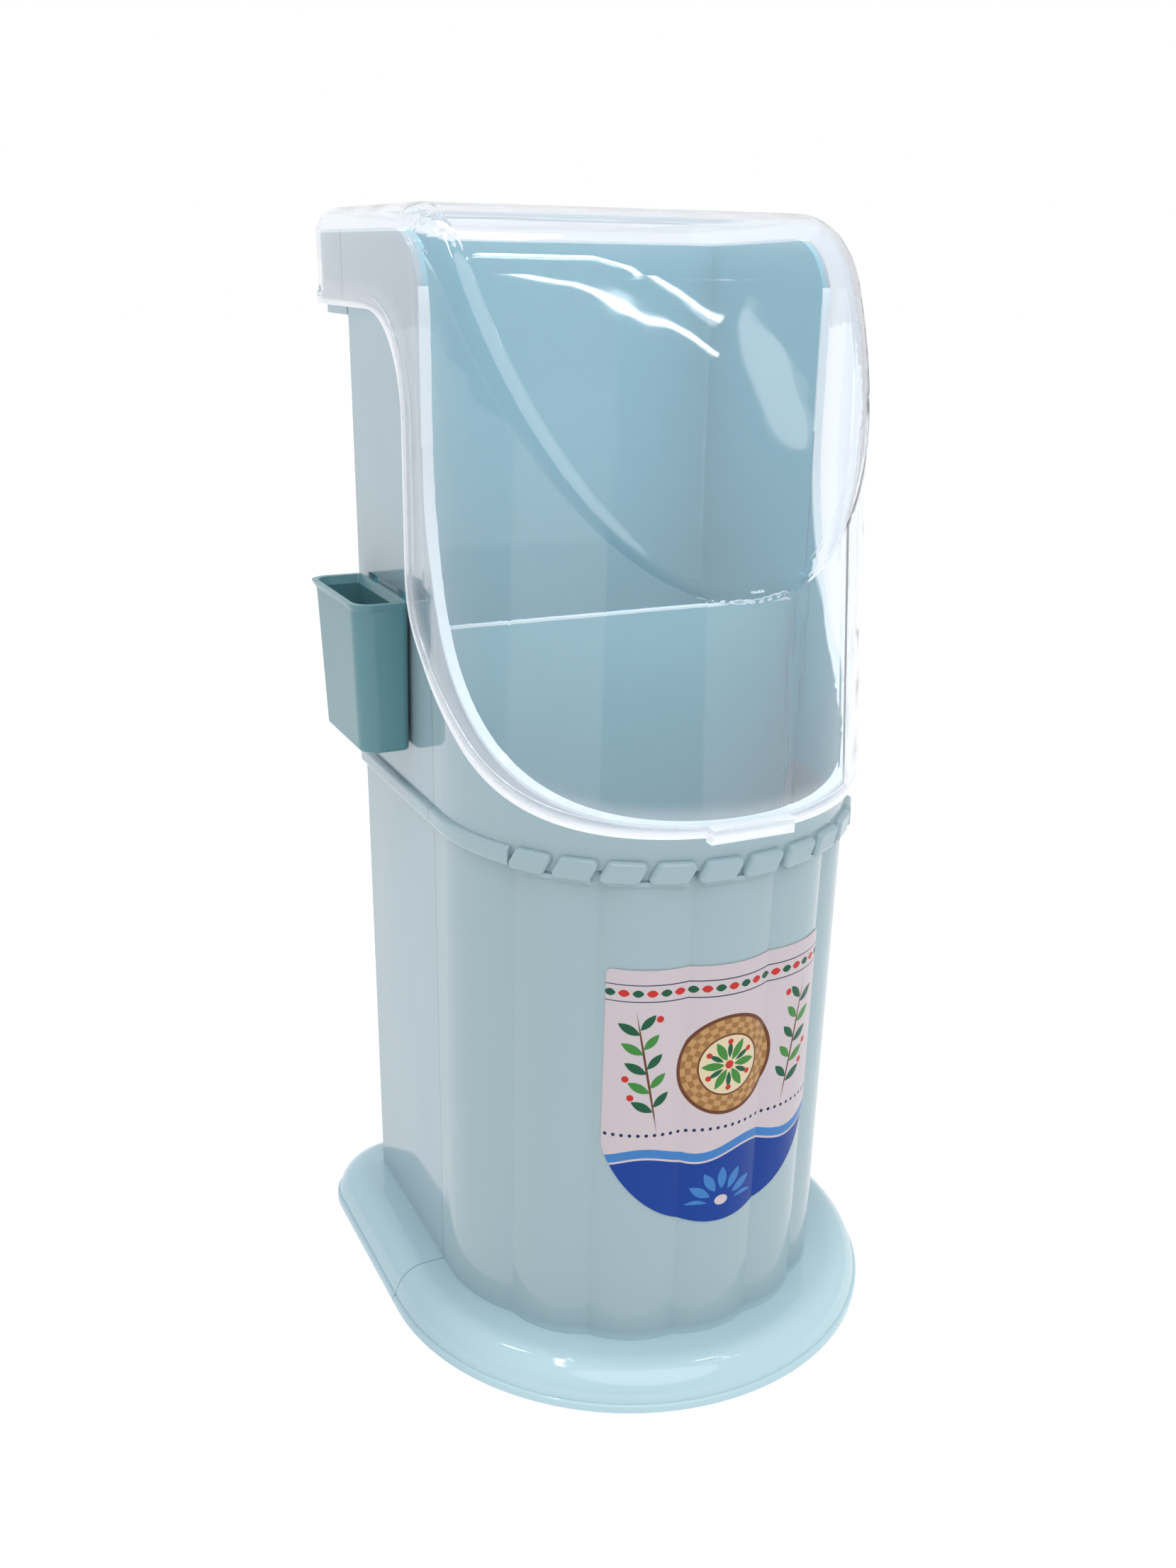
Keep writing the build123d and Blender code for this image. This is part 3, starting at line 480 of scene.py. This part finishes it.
def above(tree, value, level):
    """Mask of where a value lies above a level, with an ink edge."""
    return plus(tree, maths(tree, "DIVIDE", minus(tree, value, level), INK_EDGE), 0.5, clamp=True)


print("group:", PRINT_MARK.name)

# %% [markdown]
# ## The print
# A plain kitchen ornament: a woven mat with a rosette of herbs in the middle, a leafy twig with
# berries on each side, a beaded row above and water with a fan of petals below. Mirrored parts use the
# distance from the middle line, rows use a wrapped distance, and petals a wrapped angle, so that one
# mark prints many.

# %% Inks
WHITE_FILM = (0.55, 0.49, 0.52, 1)
DEEP_BLUE, LIGHT_BLUE = (0.006, 0.045, 0.27, 1), (0.05, 0.19, 0.48, 1)
NAVY = (0.015, 0.02, 0.08, 1)
LEAF_GREEN, DARK_GREEN = (0.05, 0.22, 0.045, 1), (0.012, 0.09, 0.045, 1)
BERRY_RED, BARK = (0.50, 0.03, 0.025, 1), (0.13, 0.045, 0.02, 1)
STRAW, DARK_STRAW, CREAM = (0.47, 0.27, 0.11, 1), (0.30, 0.15, 0.055, 1), (0.66, 0.56, 0.38, 1)
print("inks: two blues, navy, two greens, red and three browns on", WHITE_FILM[:3])

# %% Repeats round a centre
def polar(tree, across, up, centre):
    """Distance and angle about a centre."""
    du = minus(tree, across, centre[0])
    dv = minus(tree, up, centre[1])
    return straight_distance(tree, du, dv), maths(tree, "ARCTAN2", dv, du)


def round_marks(tree, out, angle, half_wedge, reach, half_length, half_width, point):
    """One mark in every wedge round a centre, at the reach from it."""
    wedge = wrapped(tree, angle, radians(half_wedge))
    u = times(tree, out, maths(tree, "COSINE", wedge))
    v = times(tree, out, maths(tree, "SINE", wedge))
    return mark(tree, u, v, (reach, 0.0), half_length, half_width, point=point)


print("wedges ready for petals, leaves and berries")

# %% Water and petals at the foot of the shield
WATER_TOP = 70.0
FAN_CENTRE = (0.0, 52.5)


def print_water(tree, colour, across, up):
    """Two blues with a rolling top, and a fan of petals in the deeper one."""
    roll = times(tree, maths(tree, "SINE", times(tree, across, 0.21)), 1.5)
    depth = minus(tree, plus(tree, roll, WATER_TOP), up)
    for start, tint in ((0.0, LIGHT_BLUE), (2.6, WHITE_FILM), (3.2, DEEP_BLUE)):
        colour = cover(tree, colour, above(tree, depth, start), tint)
    out, angle = polar(tree, across, up, FAN_CENTRE)
    petals = round_marks(tree, out, angle, 15.0, 7.4, 3.4, 1.35, point=1.0)
    upper = above(tree, up, 52.6)
    colour = cover(tree, colour, times(tree, petals, upper), LIGHT_BLUE)
    return cover(tree, colour, mark(tree, across, up, (0.0, 53.0), 2.0, 1.5), WHITE_FILM)


print("water up to", WATER_TOP, "mm, fan about", FAN_CENTRE)

# %% Woven mat with a rosette
MAT_CENTRE, MAT_RADIUS = (0.0, 94.0), 14.5
STRAW_WIDTH, WEAVES_ROUND = 1.5, 18.0


def print_mat(tree, colour, across, up):
    """Rings of straw, woven over and under, with six leaves and berries in the middle."""
    out, angle = polar(tree, across, up, MAT_CENTRE)
    ring = maths(tree, "FLOOR", maths(tree, "DIVIDE", out, STRAW_WIDTH))
    swing = plus(tree, times(tree, angle, WEAVES_ROUND), times(tree, ring, pi))
    over = plus(tree, times(tree, maths(tree, "SINE", swing), 2.0), 0.5, clamp=True)
    woven = cover(tree, DARK_STRAW, over, STRAW)
    inside = minus(tree, MAT_RADIUS, out)
    for start, tint in ((0.0, BARK), (1.0, woven), (5.6, BARK), (6.1, CREAM)):
        colour = cover(tree, colour, above(tree, inside, start), tint)
    for turn, reach, half_length, half_width, point, tint in (
            (0.0, 4.6, 3.2, 1.15, 1.0, LEAF_GREEN), (30.0, 4.4, 2.4, 0.7, 1.0, DARK_GREEN),
            (30.0, 6.7, 0.8, 0.8, 0.0, BERRY_RED)):
        turned = plus(tree, angle, radians(turn))
        leaves = round_marks(tree, out, turned, 30.0, reach, half_length, half_width, point)
        colour = cover(tree, colour, leaves, tint)
    return cover(tree, colour, mark(tree, across, up, MAT_CENTRE, 1.2, 1.2), BERRY_RED)


print("mat:", MAT_RADIUS, "mm round", MAT_CENTRE)

# %% Twigs beside the mat
def print_twigs(tree, colour, across, up):
    """A leafy twig on each side, mirrored about the middle line."""
    aside = maths(tree, "ABSOLUTE", across)
    colour = cover(tree, colour, mark(tree, aside, up, (22.4, 94.0), 16.0, 0.32, turn=80), BARK)
    for step in range(5):
        along, height = 20.6 + 0.95 * step, 82.5 + 5.6 * step
        tint = LEAF_GREEN if step % 2 else DARK_GREEN
        outer = mark(tree, aside, up, (along + 2.9, height + 1.6), 3.3, 1.25, 28, 1.0)
        inner = mark(tree, aside, up, (along - 2.0, height + 3.6), 2.9, 1.1, 132, 1.0)
        for leaf in (outer, inner):
            colour = cover(tree, colour, leaf, tint)
    for berry in ((26.6, 86.8), (28.0, 92.2), (19.4, 109.4)):
        colour = cover(tree, colour, mark(tree, aside, up, berry, 0.95, 0.95), BERRY_RED)
    return colour


print("twigs: five pairs of leaves and three berries on each side")

# %% Beaded rows
HALF_BEAD, HALF_DOT = 3.6, 1.1     # half the distance from one bead or dot to the next of its colour


def print_rows(tree, colour, across, up):
    """A row of red and green beads near the top, and a fine navy one above the water."""
    for shift, tint in ((0.0, BERRY_RED), (HALF_BEAD, DARK_GREEN)):
        along = wrapped(tree, plus(tree, across, shift), HALF_BEAD)
        colour = cover(tree, colour, mark(tree, along, up, (0.0, 116.6), 1.5, 1.0, point=0.6), tint)
    for height in (114.3, 118.9):
        colour = cover(tree, colour, mark(tree, across, up, (0.0, height), 60.0, 0.16), NAVY)
    along = wrapped(tree, across, HALF_DOT)
    return cover(tree, colour, mark(tree, along, up, (0.0, 75.6), 0.5, 0.5), NAVY)


print("rows: a bead every", HALF_BEAD, "mm, a dot every", 2 * HALF_DOT)

# %% Sticker film
def sticker_film():
    """Glossy white film with the print under it."""
    material, tree, shader = start_material("sticker_film", IOR=1.5, Specular_IOR_Level=0.15)
    across, up = flat_film(tree)
    colour = WHITE_FILM
    for print_step in (print_water, print_rows, print_twigs, print_mat):
        colour = print_step(tree, colour, across, up)
    skin = moulded_skin(tree, wave=0.15, grain=0.1, gloss=0.3, spread=0.08)
    wire(tree, shader, {"Base Color": colour, "Roughness": skin["Roughness"], "Normal": skin["Normal"]})
    print("sticker nodes:", len(tree.nodes))
    return material


dress("label", sticker_film())

# %% [markdown]
# ## Floor
# A pale floor that runs far back, with a touch of cloudiness so that it isn't one flat tone. It glows
# a little, like a light table: that keeps the contact shadow faint and the hood's reflections clean.

# %% Studio floor
FLOOR_SIZE = 12.0
bpy.ops.mesh.primitive_plane_add(size=FLOOR_SIZE, location=(0, 0, 0))
floor = bpy.context.object
floor.name = "studio_floor"
paper, paper_tree, paper_shader = start_material(
    "floor_paper", Roughness=0.6, Emission_Color=(1, 1, 1, 1), Emission_Strength=0.45)
clouds = node(paper_tree, "ShaderNodeTexNoise", {"Scale": 3.0, "Detail": 2.0}).outputs["Fac"]
paper_tone = cover(paper_tree, (0.58, 0.58, 0.58, 1), clouds, (0.62, 0.62, 0.62, 1))
wire(paper_tree, paper_shader, {"Base Color": paper_tone})
floor.data.materials.append(paper)
print("floor:", FLOOR_SIZE, "m square")

# %% [markdown]
# ## Light
# Clear plastic looks like what it mirrors, so the room comes first: a bright world, a little darker to
# the left and right, and darker still where a viewer would stand and block the light. That patch gives
# the round, fluted front its shape. Seen directly, the backdrop stays white. A wide sun adds soft
# direction.

# %% World
VIEWER_SIDE, VIEWER_DIMMING = (-0.34, -0.94, 0.05), 0.75
SIDE_DIMMING = 0.34
WHITE = (1, 1, 1, 1)

world = bpy.data.worlds.new("studio")
world.use_nodes = True
room = world.node_tree
toward = node(room, "ShaderNodeTexCoord").outputs["Generated"]
to_viewer = node(room, "ShaderNodeVectorMath", {0: toward, 1: VIEWER_SIDE}, operation="DOT_PRODUCT")
facing = maths(room, "MAXIMUM", to_viewer.outputs["Value"], 0.0)
sideways = node(room, "ShaderNodeSeparateXYZ", {0: toward}).outputs["X"]
dimming = plus(room, times(room, maths(room, "POWER", facing, 4.0), VIEWER_DIMMING),
               times(room, times(room, sideways, sideways), SIDE_DIMMING))
warm, cool = minus(room, 1.0, dimming), minus(room, 1.01, dimming)
room_light = node(room, "ShaderNodeCombineColor", {0: warm, 1: warm, 2: cool}).outputs[0]
seen = node(room, "ShaderNodeLightPath").outputs["Is Camera Ray"]
wire(room, room.nodes["Background"], {"Color": cover(room, room_light, seen, WHITE)})
bpy.context.scene.world = world
bpy.context.scene.view_settings.view_transform = "Standard"
print("world:", world.name, "with", len(room.nodes), "nodes")

# %% Sun
SUN_SPREAD = 50                    # degrees: as soft as a large window
sun_data = bpy.data.lights.new("wide_sun", "SUN")
sun_data.energy = 0.9
sun_data.angle = radians(SUN_SPREAD)
sun = bpy.data.objects.new("wide_sun", sun_data)
sun.rotation_mode = "QUATERNION"
sun.rotation_quaternion = Vector((0.1, 0.58, -0.81)).to_track_quat("-Z", "Y")
bpy.context.collection.objects.link(sun)
print("sun:", sun_data.energy, "over", SUN_SPREAD, "degrees")

# %% [markdown]
# ## Tube lamps
# Two bent rows of thin tubes hang high to the front right. They light almost nothing, but the hood
# mirrors them as two bright streaks that its faint waves bend. The upper streak crosses the round of
# the roof, which shrinks things from front to back, so its first tube has to be wide, and a dim oval
# beside them gives the soft patch on the slope. Brightness is given per area, so that a longer tube
# isn't a dimmer one. Three broad ones, above and to the left, lay glints on the shoulder of the foot.

# %% Tube lamps
LAMP_HEIGHT = 1500                 # millimetres above the table
AIM = Vector((0, 0, 270)) * MM


def tube_lamp(name, start, end, width, brightness, shape="RECTANGLE"):
    """A strip between two places in millimetres, at lamp height, that faces the hood."""
    a, b = (Vector((*place, LAMP_HEIGHT)) * MM for place in (start, end))
    data = bpy.data.lights.new(name, "AREA")
    data.shape = shape
    data.size, data.size_y = (b - a).length, width * MM
    data.energy = brightness * pi * data.size * data.size_y
    lamp = bpy.data.objects.new(name, data)
    along = (b - a).normalized()
    aim = (AIM - (a + b) / 2).normalized()
    side = along.cross(aim).normalized()
    turn = Matrix((along, side, along.cross(side))).transposed().to_4x4()
    lamp.matrix_world = Matrix.Translation((a + b) / 2) @ turn
    bpy.context.collection.objects.link(lamp)


for lamp in (
        ("lower_left", (470, -582), (600, -596), 5, 24),
        ("lower_right", (600, -596), (820, -683), 6, 26),
        ("upper_left", (430, -150), (562, -165), 50, 18),
        ("upper_bend", (562, -165), (685, -575), 9, 22),
        ("upper_right", (685, -575), (815, -634), 7, 26),
        ("soft_patch", (840, -625), (985, -830), 45, 1.6, "ELLIPSE"),
        ("foot_glint", (-640, -270), (-200, 240), 60, 16),
        ("foot_line", (-150, 560), (520, 290), 110, 8),
        ("foot_patch", (-640, 440), (-420, 320), 150, 7, "ELLIPSE")):
    tube_lamp(*lamp)

# %% [markdown]
# ## Camera
# The camera stands to the left of the front, a little above the lid's rim, and looks slightly down. It
# orbits a point half-way up the holder; three angles and a distance place it.

# %% Camera
IMAGE_HEIGHT = 2212
FOCAL_PIXELS = 2156.08
SENSOR = 36.0
AZIMUTH, ELEVATION, ROLL = radians(-25.728), radians(19.001), radians(0.979)
DISTANCE = 427.2 * MM
TARGET = Vector((0, 0, 150 * MM))
SLIDE_RIGHT, SLIDE_UP = -10.667 * MM, 0.263 * MM

back = Vector((sin(AZIMUTH) * cos(ELEVATION), -cos(AZIMUTH) * cos(ELEVATION), sin(ELEVATION)))
right = Vector((cos(AZIMUTH), sin(AZIMUTH), 0))
up = back.cross(right)
rolled_right = right * cos(ROLL) + up * sin(ROLL)
rolled_up = up * cos(ROLL) - right * sin(ROLL)

camera_data = bpy.data.cameras.new("studio_camera")
camera_data.sensor_width = SENSOR
camera_data.lens = FOCAL_PIXELS * SENSOR / IMAGE_HEIGHT
camera_data.clip_start = 0.01
camera = bpy.data.objects.new("studio_camera", camera_data)
camera.rotation_mode = "QUATERNION"
camera.rotation_quaternion = Matrix((rolled_right, rolled_up, back)).transposed().to_quaternion()
camera.location = TARGET + right * SLIDE_RIGHT + up * SLIDE_UP + back * DISTANCE
bpy.context.collection.objects.link(camera)
bpy.context.scene.camera = camera
print("camera at", [round(v, 3) for v in camera.location], "lens", round(camera_data.lens, 2), "mm")
